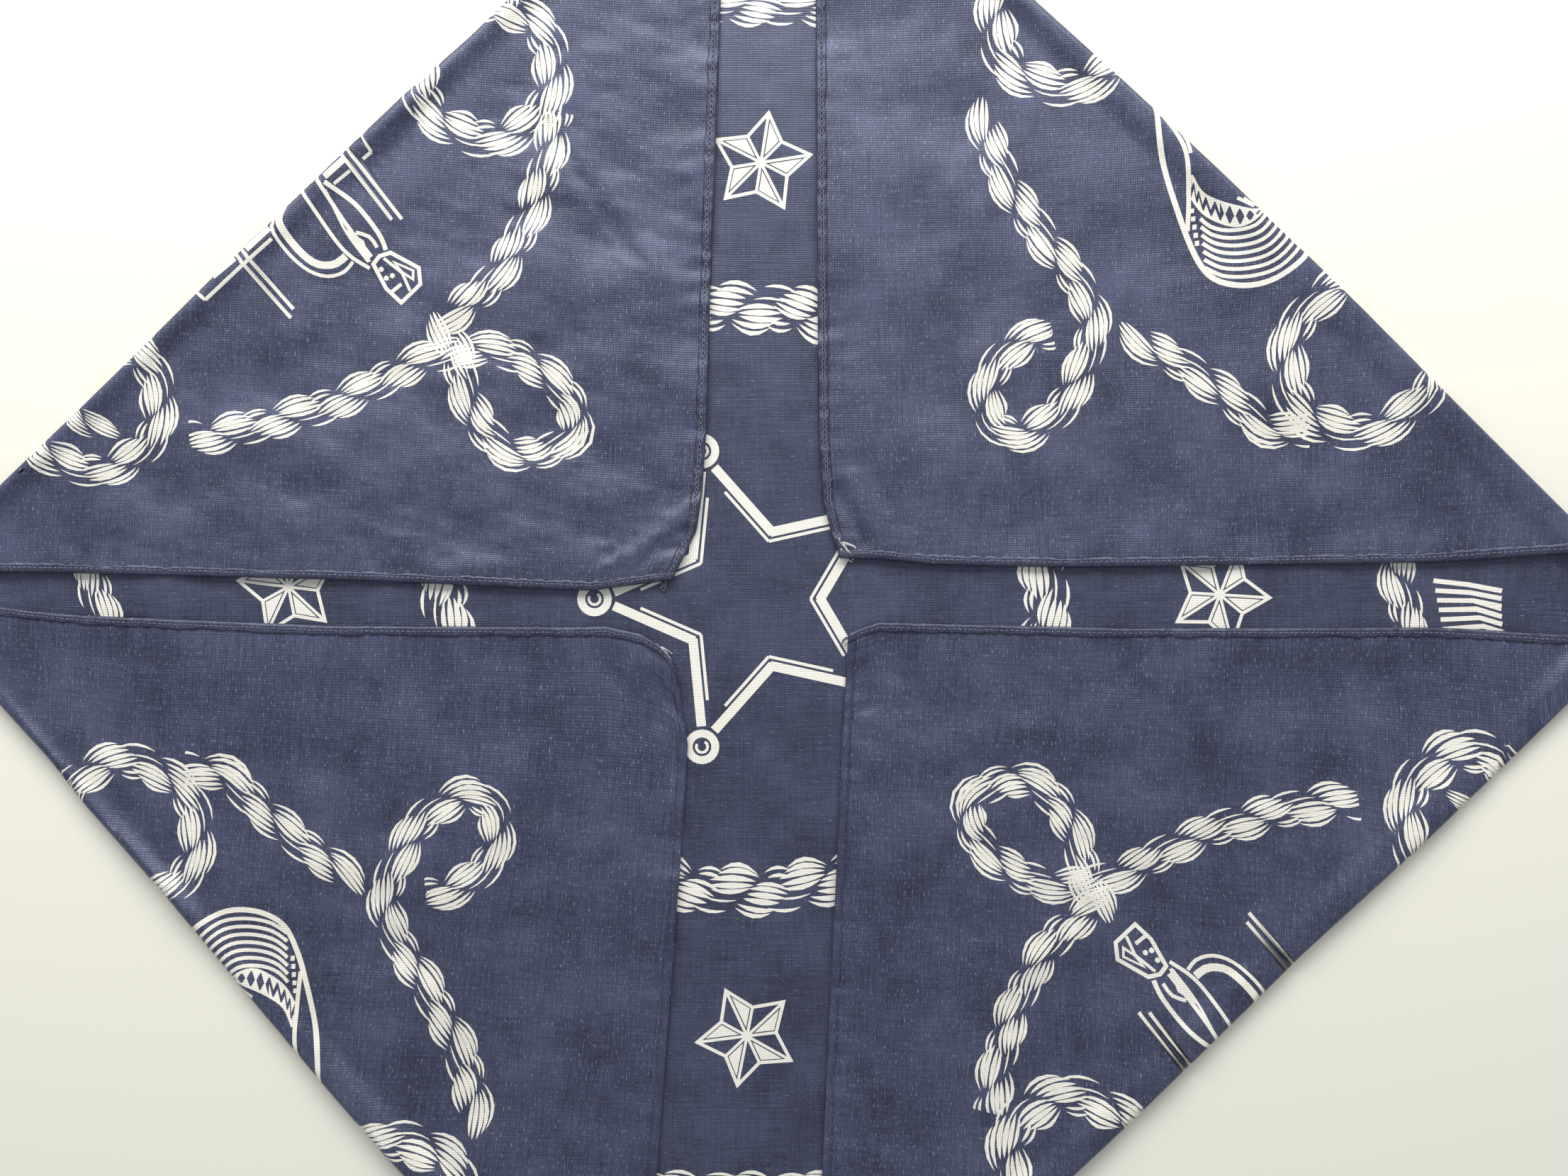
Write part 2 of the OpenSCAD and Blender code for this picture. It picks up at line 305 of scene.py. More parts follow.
def surface(flat):
    # The middle of the cloth's thickness at each flat point
    reach = np.stack([(flat - fold["at"]) @ fold["inward"] for fold in folds])
    nearest = reach.argmin(0)
    place = np.empty((len(flat), 3))
    for fold in folds:
        here = nearest == fold["number"]
        own = flat[here]
        past = -reach[fold["number"], here]
        along = (own - fold["at"]) @ fold["along"]
        foot = fold["at"] + along[:, None] * fold["along"]
        bow = np.interp(along, *zip(*foldBow[fold["flap"]]))
        radius = cloth["foldRadius"] + cloth["foldRadiusVary"] * ripple(along, 0, 70, 3 + fold["number"])
        quarter = radius * math.pi / 2
        turn = np.clip(past / radius, -math.pi / 2, math.pi / 2)
        inward = np.where(np.abs(past) < quarter, quarter - radius * np.cos(turn), np.abs(past))
        inward = inward + bow * fade(inward, cloth["bowReach"])
        spot = foot + inward[:, None] * fold["inward"]
        root = foot + quarter[:, None] * fold["inward"]
        rootHeight = centreHeight(root)
        below = np.where(past < -quarter, centreHeight(spot), rootHeight + radius * (1 + np.sin(turn)))
        settled = flapHeight(fold, own, spot)
        beyond = np.maximum(past - quarter, 0) / cloth["foldPuff"]
        crown = rootHeight + 2 * radius - settled
        above = settled + crown * (1 + beyond) * np.exp(-beyond)
        ownPlace = np.column_stack([spot, np.where(past > quarter, above, below)])
        onFlap = past > quarter
        ownPlace[onFlap] = shiftFlap(fold, own[onFlap], ownPlace[onFlap])
        place[here] = ownPlace
    return place


def faceNormals(flat):
    # Points away from the printed face: up on the middle and down on a flap
    step = 0.06
    acrossU = surface(flat + (step, 0)) - surface(flat - (step, 0))
    acrossV = surface(flat + (0, step)) - surface(flat - (0, step))
    normals = np.cross(acrossU, acrossV)
    return normals / np.linalg.norm(normals, axis=1)[:, None]


def onCloth(points):
    # Places points given as flat x, flat y and height over the printed face
    points = np.asarray(points, float)
    return surface(points[:, :2]) + points[:, 2:] * faceNormals(points[:, :2])


# The print, drawn flat: closed outlines in millimetres from the middle of the cloth
printed = []


def fill(points, turned=(0, 0)):
    # One printed shape and, unless turned is None, its copy half way round, moved by that much
    points = np.asarray(points, float)
    x, y = points[:, 0], points[:, 1]
    if np.dot(x, np.roll(y, -1)) - np.dot(y, np.roll(x, -1)) < 0:
        points = points[::-1]
    printed.append(points)
    if turned is not None:
        printed.append(np.array(turned) - points)


def smoothPath(points, closed=False, spacing=2.0):
    # A curve through all the points, as evenly spaced steps
    points = [np.array(p, float) for p in points]
    count = len(points)
    curve = []
    for i in range(count if closed else count - 1):
        if closed:
            p0, p1, p2, p3 = (points[(i + k) % count] for k in (-1, 0, 1, 2))
        else:
            p0, p1, p2, p3 = (points[min(max(i + k, 0), count - 1)] for k in (-1, 0, 1, 2))
        for t in np.linspace(0, 1, 12, endpoint=False):
            curve.append(0.5 * (2 * p1 + (p2 - p0) * t + (2 * p0 - 5 * p1 + 4 * p2 - p3) * t ** 2
                                + (3 * p1 - p0 - 3 * p2 + p3) * t ** 3))
    curve.append(points[0] if closed else points[-1])
    curve = np.array(curve)
    length = np.concatenate([[0], np.cumsum(np.linalg.norm(np.diff(curve, axis=0), axis=1))])
    steps = np.linspace(0, length[-1], max(3, round(length[-1] / spacing) + 1))
    return np.column_stack([np.interp(steps, length, curve[:, k]) for k in (0, 1)]), length[-1]


def arc(centre, radius, start, end, step=12):
    count = max(3, round(abs(end - start) / step) + 1)
    return [(centre[0] + radius * math.cos(math.radians(a)), centre[1] + radius * math.sin(math.radians(a)))
            for a in np.linspace(start, end, count)]


def polar(centre, radius, degrees):
    angle = math.radians(degrees)
    return np.array([centre[0] + radius * math.cos(angle), centre[1] + radius * math.sin(angle)])


def drawLine(points, width, closed=False, turned=(0, 0)):
    # A line of even width, as one four-sided piece for each step
    points = np.asarray(points, float)
    if closed:
        ahead, behind = np.roll(points, -1, 0), np.roll(points, 1, 0)
    else:
        ahead = np.vstack([points[1:], 2 * points[-1:] - points[-2:-1]])
        behind = np.vstack([2 * points[:1] - points[1:2], points[:-1]])
    first = points - behind
    second = ahead - points
    first /= np.linalg.norm(first, axis=1)[:, None]
    second /= np.linalg.norm(second, axis=1)[:, None]
    mitre = first + second
    mitre /= np.linalg.norm(mitre, axis=1)[:, None]
    reach = width / 2 / np.maximum((mitre * first).sum(1), 0.35)
    across = np.column_stack([-mitre[:, 1], mitre[:, 0]]) * reach[:, None]
    left, right = points + across, points - across
    for i in range(len(points) if closed else len(points) - 1):
        j = (i + 1) % len(points)
        fill([left[i], left[j], right[j], right[i]], turned)


def drawCurve(points, width):
    drawLine(smoothPath(points)[0], width)


# One turn of the rope's lay as brush strokes: from, to, bow and thickness, where x is a share of the
# turn and y a share of half the rope's width
ropeStrokes = [
    (-0.22, 0.72, 0.37, 0.55, 0.34, 0.17), (-0.28, 0.55, 0.33, 0.43, 0.22, 0.22),
    (-0.36, 0.32, 0.30, 0.32, 0.13, 0.24), (-0.37, 0.13, 0.27, 0.20, 0.02, 0.24),
    (-0.32, -0.02, 0.25, 0.08, -0.10, 0.19),
    (0.29, 0.17, 0.79, -0.14, 0.17, 0.16), (0.21, 0.04, 0.75, -0.27, 0.11, 0.21),
    (0.16, -0.15, 0.69, -0.40, 0.04, 0.24), (0.12, -0.33, 0.64, -0.58, -0.03, 0.24),
    (0.05, -0.48, 0.57, -0.72, -0.11, 0.21), (0.01, -0.62, 0.48, -0.86, -0.20, 0.17),
    (0.44, 0.63, 0.82, 0.62, 0.17, 0.13), (0.47, 0.47, 0.82, 0.38, 0.11, 0.15),
    (0.56, -0.30, 1.04, -0.34, -0.09, 0.09), (0.45, -0.70, 0.89, -0.78, -0.12, 0.13),
]


def drawRope(points, width, turn=22.5, closed=False, turned=(0, 0), seed=1):
    path, length = smoothPath(points, closed)
    stations = np.linspace(0, length, len(path))
    turns = max(1, round(length / turn))
    turn = length / turns
    heading = np.gradient(path, axis=0)
    if closed:
        heading[0] = heading[-1] = path[1] - path[-2]
    heading /= np.linalg.norm(heading, axis=1)[:, None]
    pick = np.random.default_rng(seed)
    shares = np.array([0, 0.1, 0.28, 0.5, 0.72, 0.9, 1])
    body = np.sin(math.pi * shares) ** 0.8
    for i in range(turns):
        for x0, y0, x1, y1, bow, thick in ropeStrokes:
            nudge = pick.normal(0, 0.014, 4)
            xs = x0 + nudge[0] + (x1 - x0 + nudge[1]) * shares
            ys = y0 + nudge[2] + (y1 - y0 + nudge[3]) * shares + bow * 4 * shares * (1 - shares)
            along = (i + 0.35 + xs) * turn
            if not closed and (along[3] < 0 or along[3] > length):
                continue
            along = along % length if closed else np.clip(along, 0, length)
            where = np.column_stack([np.interp(along, stations, path[:, k]) for k in (0, 1)])
            facing = np.column_stack([np.interp(along, stations, heading[:, k]) for k in (0, 1)])
            across = np.column_stack([-facing[:, 1], facing[:, 0]]) * width / 2
            upper = where + across * (ys + body * thick / 2)[:, None]
            lower = where + across * (ys - body * thick / 2)[:, None]
            fill(np.vstack([upper, lower[-2:0:-1]]), turned)


star = {"radius": 16.5, "notchShare": 0.585, "line": 1.1, "filledShare": 0.67}


def drawStar(centre, firstTip):
    # A faceted star: its outline, a line to each tip and notch, and one half of each ray filled in
    tips = [polar(centre, star["radius"], 90 - firstTip - 72 * k) for k in range(5)]
    notches = [polar(centre, star["radius"] * star["notchShare"], 54 - firstTip - 72 * k) for k in range(5)]
    centre = np.array(centre, float)
    drawLine([p for pair in zip(tips, notches) for p in pair], star["line"], True, None)
    for point in tips + notches:
        drawLine([centre, centre + 0.97 * (point - centre)], star["line"] * 0.85, False, None)
    for tip, notch in zip(tips, notches):
        # Shrunk about the middle of its inner circle, so that the gap is even on all three sides
        corners = np.array([centre, tip, notch])
        opposite = np.linalg.norm(np.roll(corners, 1, 0) - np.roll(corners, -1, 0), axis=1)
        middle = opposite @ corners / opposite.sum()
        fill(middle + (corners - middle) * star["filledShare"], None)


badge = {
    "tipRadius": 50,
    "notchRadius": 23.2,
    "firstTip": -90,
    "line": 3.1,
    "innerLine": 1.0,
    "gap": 0.75,             # between the band and the thin line inside it
    "ball": 5.8,
}


def drawBadge():
    # A five-pointed badge: a bold band with a thin line inside it, and a ringed ball on each tip
    tips = [polar((0, 0), badge["tipRadius"], 90 - badge["firstTip"] - 72 * k) for k in range(5)]
    notches = [polar((0, 0), badge["notchRadius"], 54 - badge["firstTip"] - 72 * k) for k in range(5)]
    inset = badge["line"] / 2 + badge["gap"] + badge["innerLine"] / 2
    for k in range(5):
        for notch, other in ((notches[k - 1], 1), (notches[k], -1)):
            way = (tips[k] - notch) / np.linalg.norm(tips[k] - notch)
            end = tips[k] - way * (badge["ball"] - 0.2)
            drawLine([notch - way * 0.5, end], badge["line"], False, None)
            side = other * np.array([way[1], -way[0]])
            inner = [notch + side * inset - way * 1.6, tips[k] + side * inset - way * 14]
            drawLine(inner, badge["innerLine"], False, None)
        centre = tips[k] * (1 + 1.2 / badge["tipRadius"])
        drawLine(arc(centre, badge["ball"] - 1.4, 0, 345, 15), 2.6, True, None)
        drawLine(arc(centre, 1.9, 150, 420, 30), 0.9, False, None)


def nudgeTurned(first, shift):
    # Moves the turned copies of everything drawn since the shape numbered first
    for number in range(first + 1, len(printed), 2):
        printed[number] = printed[number] + shift


def besideFold(flap, points):
    # Flat points from places along a fold, away from its middle, and over it towards the corner
    fold = next(fold for fold in folds if fold["flap"] == flap)
    way = fold["along"] * np.sign(fold["along"][0])
    return [fold["at"] + s * way - t * fold["inward"] for s, t in points]


def drawSpur():
    # A spur laid across the fold of the upper left corner: two pairs of straps, a long bar,
    # the heel band as a deep curve, and a shank that ends in a buckle
    def at(*points):
        return besideFold("flap_upper_left", points)

    drawnBefore = len(printed)
    for start, end in (((-34, -14), (-36, 28)), ((-31.5, -14), (-33.4, 26.5)),
                       ((14.7, -14), (10.2, 27.4)), ((17, -14), (12.7, 29.5))):
        drawLine(at(start, end), 1.2)
    for start, end, width in (((-52, 5.2), (-22.5, 5.8), 1.1), ((4.6, 6.6), (11.5, 7.2), 1.0),
                              ((-45, 1.4), (-35.7, 2.2), 2.2), ((-30.9, 2.7), (-20.7, 2.7), 2.2),
                              ((4, 2.9), (12.8, 3.4), 2.2), ((17, 7.4), (20.7, 7.6), 1.0)):
        drawLine(at(start, end), width)
    drawLine(at((-52, 5.2), (-53, -4)), 1.1)
    drawLine(at((20.7, 7.6), (22.8, -4)), 1.1)
    heel = at((-13, -4), (-15.5, 0.5), (-20, 3.3), (-21.9, 11), (-21.3, 20), (-18.2, 26), (-13.2, 28.8),
              (-8.6, 28.5))
    drawCurve(heel, 1.1)
    inner = at((-10, -4), (-12.5, 0.4), (-16.8, 3.2), (-18.7, 10.9), (-18.1, 20), (-14, 24.8), (-9, 25.7))
    drawCurve(inner, 2.4)
    drawCurve(at((-4.5, 0), (-8.1, 22.7), (-6.1, 33.7)), 1.2)
    drawCurve(at((1.9, 0), (-1.4, 16.6), (-3.1, 31.4)), 1.3)
    drawCurve(at((2.8, 4.1), (5, 15.7), (4, 27.3), (1.9, 33)), 1.5)
    drawCurve(at((1.2, 6), (-3.4, 20), (-5, 32)), 0.8)
    fill(at((-3, 19), (-1.2, 26), (-4.4, 32.5), (-5.4, 31), (-4, 25)))
    drawCurve(at((-1.2, 22.5), (1, 26.5), (0.4, 30.5)), 1.2)
    buckle = at((-4.3, 33.5), (-1, 33), (2.4, 34.7), (5.7, 44.7), (2.4, 48.9), (-6.4, 48.7), (-6.8, 42))
    drawLine(buckle, 1.3, True)
    drawLine(at((-0.5, 34.5), (0.6, 42), (-1.6, 48)), 1.0)
    drawLine([p + (0.2, 0) for p in at((1, 38), (3.6, 44.2), (1.6, 46.2), (0.6, 42))], 0.8, True)
    for spot in ((-3.6, 36.4), (-4.4, 39.6), (-2.4, 40.4)):
        fill([polar(at(spot)[0], 0.9, turn) for turn in range(0, 360, 60)])
    fill(at((-6, 43.4), (-2, 43.8), (-2.2, 45), (-6, 44.6)))
    nudgeTurned(drawnBefore, (2.5, 0.5))


def blendCurves(first, last, share):
    return [(a[0] + share * (b[0] - a[0]), a[1] + share * (b[1] - a[1])) for a, b in zip(first, last)]


def drawHat():
    # A wide-brimmed hat laid across the fold of the upper right corner: the brim's two outlines, a
    # toothed band, and the straw of the brim as curves side by side
    def at(*points):
        return besideFold("flap_upper_right", points)

    drawnBefore = len(printed)
    brim = [(-28, 0.6), (-18.5, 8.3), (-6.6, 15.3), (8.3, 21.9), (19.3, 25.4), (26.3, 25.2), (33.5, 21),
            (38.6, 14.6), (40.8, 7), (40.8, 0), (39, -9)]
    drawCurve(at(*brim), 1.7)
    under = [(-28, 0.6), (-18.7, 2.2), (-11.4, 4.6), (-4.7, 9.3), (1.8, 15), (8, 21)]
    drawCurve(at(*under), 1.4)
    drawCurve(at((-16.3, 0.6), (-12.5, 2.2), (-9.3, 4.2)), 1.2)
    upper = at((-4, 8.8), (2.5, 10.2), (8.7, 8.6), (14, 6), (18.5, 3.2), (20.2, 0.2))
    lower = at((1.1, 13.2), (7.5, 14), (13.6, 12.4), (18.5, 9.7), (20.6, 5.5), (20.7, 0.2))
    upper, lower = (smoothPath(edge, False, 1.6)[0] for edge in (upper, lower))
    drawLine(upper, 0.8)
    drawLine(lower, 0.9)
    teeth = 9
    for k in range(teeth):
        for near, far, shift in ((upper, lower, 0.0), (lower, upper, 0.5)):
            a, b, tip = (int((k + shift + way) / (teeth + 0.5) * (len(near) - 1))
                         for way in (0.0, 0.95, 0.48))
            peak = near[min(tip, len(near) - 1)] * 0.42 + far[min(tip, len(far) - 1)] * 0.58
            fill([near[a], near[min(b, len(near) - 1)], peak])
    first = [(8, 15.8), (12.5, 15.3), (17.5, 12.4), (22.2, 6.5), (22, 0), (20, -8)]
    last = [(20.5, 25), (27, 22.8), (33.5, 17), (37.6, 9.5), (37.4, 0), (35, -8)]
    for k in range(7):
        drawCurve(at(*blendCurves(first, last, k / 6)), 1.15)
    for k in range(5):
        start, end = blendCurves([(3.8, 15.4), (4.8, 16.4)], [(12.4, 21), (13.6, 22)], k / 4)
        drawLine(at(start, end), 1.3)
    for start, end in (((11.8, 4.2), (17.6, 2.2)), ((13.4, 2.8), (18.2, 1.0))):
        drawLine(at(start, end), 1.1)
    drawCurve(at((-26, -2), (-8, -14), (14, -19), (32, -16), (39, -9)), 1.7)
    nudgeTurned(drawnBefore, (-2.5, 2))


def drawRopes():
    ring = [(1.03 * x - 1.5, y) for x, y in arc((0, 0), 96, 0, 348, 12)]
    drawRope(ring, 17.5, 23.5, True, None, 2)
    drawRope([(-84, 199), (-40, 196), (0, 196), (40, 196), (78, 198)], 15, 22, seed=3)
    drawRope([(-210, 44), (-216, 28), (-216.5, 8), (-212.5, -12), (-216, -34), (-208, -58)], 13, 20, seed=4)
    corner = [(-184, 179.5), (-196, 186), (-211, 191), (-222.5, 197), (-229.5, 207), (-229.5, 217),
              (-222.5, 226.5), (-212.5, 226), (-204.5, 218.5), (-198, 208), (-196, 195), (-198, 184),
              (-203, 171), (-211, 158), (-218, 143), (-223, 128), (-228, 112), (-229.5, 101)]
    drawRope(corner, 12.5, turned=(0, 3), seed=5)
    drawRope(arc((-220, 69), 22, 0, 345, 15), 13, 23, True, (5.5, 6.5), 6)
    drawRope([(-231, 78), (-227, 68), (-219, 60)], 9, 20, turned=(5.5, 6.5), seed=7)
    drawRope([(-189, 179), (-183.5, 187.5), (-176, 196), (-164, 204), (-149, 210), (-134, 214),
              (-117, 216.5)], 12.5, turned=(4, 3.5), seed=8)
    drawRope(arc((-105, 192.5), 22, 0, 345, 15), 14, 23, True, (2.5, 6.5), 9)
    drawRope(arc((0, 0), 131, 120, 150, 6), 12.5, seed=10)
    loop = [(125, 213.5), (140, 212.5), (155, 206), (170, 196.5), (182.5, 187), (195, 179.5),
            (208, 180.5), (221, 185.5), (231, 193), (236, 203), (232, 212), (222, 214), (211.5, 209),
            (205, 200.5), (203, 192)]
    drawRope(loop, 12.5, turned=(1, 6.5), seed=11)
    drawRope([(199, 169), (209, 159), (217, 145), (226.5, 133), (235.5, 121.5), (236.5, 108)], 12.5,
             turned=(-0.5, 5), seed=12)
    drawRope(arc((214, 93), 23.5, 0, 345, 15), 13, 23, True, (0.5, 7.5), 13)
    drawRope(arc((101, 188), 22.5, 0, 345, 15), 14, 23, True, (0, 3), 14)
    drawRope(arc((0, 0), 131, 32, 62, 6), 12.5, seed=15)
    for k in range(6):
        tassel = [(225 + 0.6 * k, 6 - 3.2 * k), (236 + k, 4.5 - 2.6 * k), (247, 2 - 2.4 * k)]
        drawLine(tassel, 1.5, False, None)


drawRopes()
drawBadge()
drawSpur()
drawHat()
drawStar((3.6, 143.7), 9)
drawStar((-1, -144), 47)
drawStar((-152, 4), 277)
drawStar((154.7, 1.4), 93.5)
print("print drawn:", len(printed), "shapes")

# Cotton: plain weave of carded yarn, piece-dyed and printed through, washed soft. It is matt, with a
# faint bloom at grazing angles, and its yarns vary in thickness, so the dye looks streaked both ways.
weave = {
    "yarn": 0.75,            # the real yarns are 0.33 mm apart, drawn coarser so that they show
    "slubWidth": 0.55,
    "slubLength": 14,
    "blotch": 26,
    "fleck": 1.6,
    "bump": 0.00006,
    "gapShade": 0.66,        # painted shade: how dark the dyed cloth is painted between its yarns
    "printGapShade": 0.86,   # the same painted shade for the cream print, which fills the gaps
    "gloss": 1.0,            # the window catches the pressed cloth, more towards the far side
    "glossTint": "#dce6ff",
}


def clothCoordinate(material):
    # The flat cloth's own millimetres, so that the weave follows the threads round every fold
    place = addNode(material, "ShaderNodeUVMap", {"uv_map": "flat"})
    return addNode(material, "ShaderNodeVectorMath", {"operation": "SCALE", "Scale": 1000.0},
                   {0: place.outputs["UV"]}).outputs["Vector"]


def stretchedNoise(material, place, size, detail=3.0):
    # Noise drawn out to the size given in millimetres across and along
    scaled = addNode(material, "ShaderNodeVectorMath", {"operation": "MULTIPLY",
                     1: (1 / size[0], 1 / size[1], 1)}, {0: place})
    return addNode(material, "ShaderNodeTexNoise", {"Scale": 1.0, "Detail": detail, "Roughness": 0.6},
                   {"Vector": scaled.outputs["Vector"]}).outputs["Fac"]


def math2(material, operation, a, b):
    node = addNode(material, "ShaderNodeMath", {"operation": operation})
    for socket, value in enumerate((a, b)):
        if isinstance(value, (int, float)):
            node.inputs[socket].default_value = value
        else:
            material.node_tree.links.new(value, node.inputs[socket])
    return node.outputs["Value"]


def blended(material, a, shareOfA, b, shareOfB):
    return math2(material, "ADD", math2(material, "MULTIPLY", a, shareOfA),
                 math2(material, "MULTIPLY", b, shareOfB))


def remap(material, value, low, high, toLow, toHigh):
    return addNode(material, "ShaderNodeMapRange", {"From Min": low, "From Max": high, "To Min": toLow,
                   "To Max": toHigh}, {"Value": value}).outputs["Result"]


def mixColours(material, share, a, b, blend="MIX"):
    node = addNode(material, "ShaderNodeMix", {"data_type": "RGBA", "blend_type": blend})
    for socket, value in ((0, share), (6, a), (7, b)):
        if hasattr(value, "node"):
            material.node_tree.links.new(value, node.inputs[socket])
        else:
            node.inputs[socket].default_value = value
    return node.outputs[2]


def cotton(name, dark, light, fleckColour, fleckShare, roughness=0.44, bump=1.0, gapShade=weave["gapShade"]):
    material = newMaterial(name)
    place = clothCoordinate(material)
    weft = stretchedNoise(material, place, (weave["slubLength"], weave["slubWidth"]))
    warp = stretchedNoise(material, place, (weave["slubWidth"], weave["slubLength"]))
    blotch = stretchedNoise(material, place, (weave["blotch"], weave["blotch"]), 5.0)
    streak = blended(material, weft, 0.55, warp, 0.45)
    tone = blended(material, streak, 0.6, blotch, 0.4)
    tone = remap(material, tone, 0.40, 0.60, 0, 1)
    colour = mixColours(material, tone, rgba(dark), rgba(light))
    speck = stretchedNoise(material, place, (weave["fleck"], weave["slubWidth"]), 2.0)
    fleck = remap(material, speck, 0.66 - 0.06 * fleckShare, 0.74, 0, 0.75)
    colour = mixColours(material, fleck, colour, rgba(fleckColour))
    yarns = []
    for direction in ("X", "Y"):
        wave = addNode(material, "ShaderNodeTexWave", {
            "wave_type": "BANDS", "bands_direction": direction, "Scale": 2 * math.pi / 20 / weave["yarn"],
            "Distortion": 0.6, "Detail": 1.0, "Detail Scale": 0.4}, {"Vector": place})
        yarns.append(wave.outputs["Fac"])
    weaveMesh = math2(material, "MULTIPLY", yarns[0], yarns[1])
    # Painted shade between the yarns, and a painted highlight on their crowns where the factor goes past one
    gaps = remap(material, weaveMesh, 0.0, 0.7, gapShade, 1.08)
    colour = mixColours(material, 1.0, colour, gaps, "MULTIPLY")
    relief = blended(material, weaveMesh, 1.0, streak, 1.6)
    raised = addNode(material, "ShaderNodeBump", {"Strength": bump, "Distance": weave["bump"]},
                     {"Height": relief})
    shader = addNode(material, "ShaderNodeBsdfPrincipled", {
        "Roughness": roughness, "Specular IOR Level": weave["gloss"],
        "Specular Tint": rgba(weave["glossTint"])},
        {"Base Color": colour, "Normal": raised.outputs["Normal"]})
    addNode(material, "ShaderNodeOutputMaterial", {}, {"Surface": shader.outputs["BSDF"]})
    return material


# Dyed navy, then printed by discharge, so the cream shows on both sides and is a little soft on the back
navyFace = cotton("navyCottonFace", "#1f223b", "#4b4f6a", "#8487a0", 0.8)
navyBack = cotton("navyCottonBack", "#1f223b", "#505472", "#959ab0", 1.2)
creamFace = cotton("dischargePrintFace", "#f4f1e3", "#fdfbf0", "#fffdf6", 0.5, 0.6, 1.0,
                   weave["printGapShade"])
creamBack = cotton("dischargePrintBack", "#efebdb", "#fcfaee", "#fffdf6", 0.5, 0.6, 1.0,
                   weave["printGapShade"])
# The hem's cotton is painted darker than the navy it is turned from: painted shade where the rolled hem
# curves away from the light
shadedHemCotton = cotton("turnedHemCottonShaded", "#15182c", "#3f435d", "#8589a0", 1.2)
selvedgeCotton = cotton("selvedgeCotton", "#272a45", "#494d69", "#9396ac", 1.0)


def spunThread(name, dark, light):
    # Three-ply spun polyester-cotton: dull, with a slight lustre, and painted lighter where the plies stand
    # up, as a painted highlight
    material = newMaterial(name)
    place = clothCoordinate(material)
    ply = stretchedNoise(material, place, (0.5, 0.5), 2.0)
    # The noise that raises the plies also paints them lighter: a painted highlight
    colour = mixColours(material, remap(material, ply, 0.35, 0.65, 0, 1), rgba(dark), rgba(light))
    raised = addNode(material, "ShaderNodeBump", {"Strength": 0.6, "Distance": 0.00005}, {"Height": ply})
    shader = addNode(material, "ShaderNodeBsdfPrincipled", {
        "Roughness": 0.7, "Sheen Weight": 0.2}, {"Base Color": colour, "Normal": raised.outputs["Normal"]})
    addNode(material, "ShaderNodeOutputMaterial", {}, {"Surface": shader.outputs["BSDF"]})
    return material


seamThread = spunThread("seamThread", "#3a3e56", "#777b93")
tailThread = spunThread("frayedTailThread", "#8b8c9b", "#d9d6cf")

foldOf = {fold["flap"]: fold for fold in folds}


def addPiece(name, points, faces, materials, body, replaced, flat, faceMaterial=None, normals=None):
    # The flat places become the "flat" map that every cotton and thread is laid out on
    mesh = bpy.data.meshes.new(name)
    mesh.from_pydata((np.asarray(points) * mm).tolist(), [], faces)
    for material in materials:
        mesh.materials.append(material)
    if faceMaterial is not None:
        mesh.polygons.foreach_set("material_index", np.asarray(faceMaterial, np.int32))
    uv = mesh.uv_layers.new(name="flat")
    corner = np.empty(len(mesh.loops), np.int32)
    mesh.loops.foreach_get("vertex_index", corner)
    uv.data.foreach_set("uv", (np.asarray(flat)[corner, :2] * mm).astype(np.float32).ravel())
    mesh.shade_smooth()
    if normals is not None:
        mesh.normals_split_custom_set_from_vertices(normals.tolist())
    piece = bpy.data.objects.new(name, mesh)
    bpy.context.scene.collection.objects.link(piece)
    if body == "centre":
        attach(piece, "centre")
    else:
        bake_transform(piece)
    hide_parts(*replaced)
    return piece


grid = {
    "spacing": 3.2,
    "foldBand": 6.5,         # closer rows reach this far to each side of a fold
    "foldRow": 0.75,
    "foldStep": 2.6,
    "edgeRows": (1.6, 3.4, 5.4, 7.6, 10.2),
    "edgeStep": 1.8,
    "edgeBand": 12,
}


def flatPoints():
    # Points for the cloth's mesh: an even field, closer rows along each fold and each edge
    x = np.arange(-halfWidth + 2, halfWidth - 1, grid["spacing"])
    y = np.arange(-halfHeight + 2, halfHeight - 1, grid["spacing"])
    field = np.stack(np.meshgrid(x, y), -1).reshape(-1, 2)
    reach = np.stack([np.abs((field - fold["at"]) @ fold["inward"]) for fold in folds]).min(0)
    edge = np.minimum(halfWidth - np.abs(field[:, 0]), halfHeight - np.abs(field[:, 1]))
    points = [field[(reach > grid["foldBand"]) & (edge > grid["edgeBand"])]]
    steps = np.arange(-420, 420, grid["foldStep"])
    for fold in folds:
        for row in np.arange(-grid["foldBand"], grid["foldBand"] + 0.01, grid["foldRow"]):
            if abs(row) > 0.1:
                points.append(fold["at"] + row * fold["inward"] + steps[:, None] * fold["along"])
    for inset in grid["edgeRows"]:
        acrossX = np.arange(-halfWidth + inset, halfWidth - inset, grid["edgeStep"])
        upY = np.arange(-halfHeight + inset, halfHeight - inset, grid["edgeStep"])
        for side in (-1, 1):
            points.append(np.column_stack([acrossX, np.full(len(acrossX), side * (halfHeight - inset))]))
            points.append(np.column_stack([np.full(len(upY), side * (halfWidth - inset)), upY]))
    points = np.vstack(points)
    inside = (np.abs(points[:, 0]) < halfWidth - 0.7) & (np.abs(points[:, 1]) < halfHeight - 0.7)
    return points[inside]


def foldEnds(fold, inset=0.0):
    # Where a fold's line meets the top or bottom side and the left or right side
    up = np.sign(fold["at"])
    wide, high = up * (halfWidth - inset, halfHeight - inset)
    atEnd = fold["at"] + (high - fold["at"][1]) / fold["along"][1] * fold["along"]
    atSide = fold["at"] + (wide - fold["at"][0]) / fold["along"][0] * fold["along"]
    return atEnd, atSide


def chain(start, end, step):
    count = max(2, round(np.linalg.norm(np.subtract(end, start)) / step) + 1)
    return np.linspace(start, end, count)


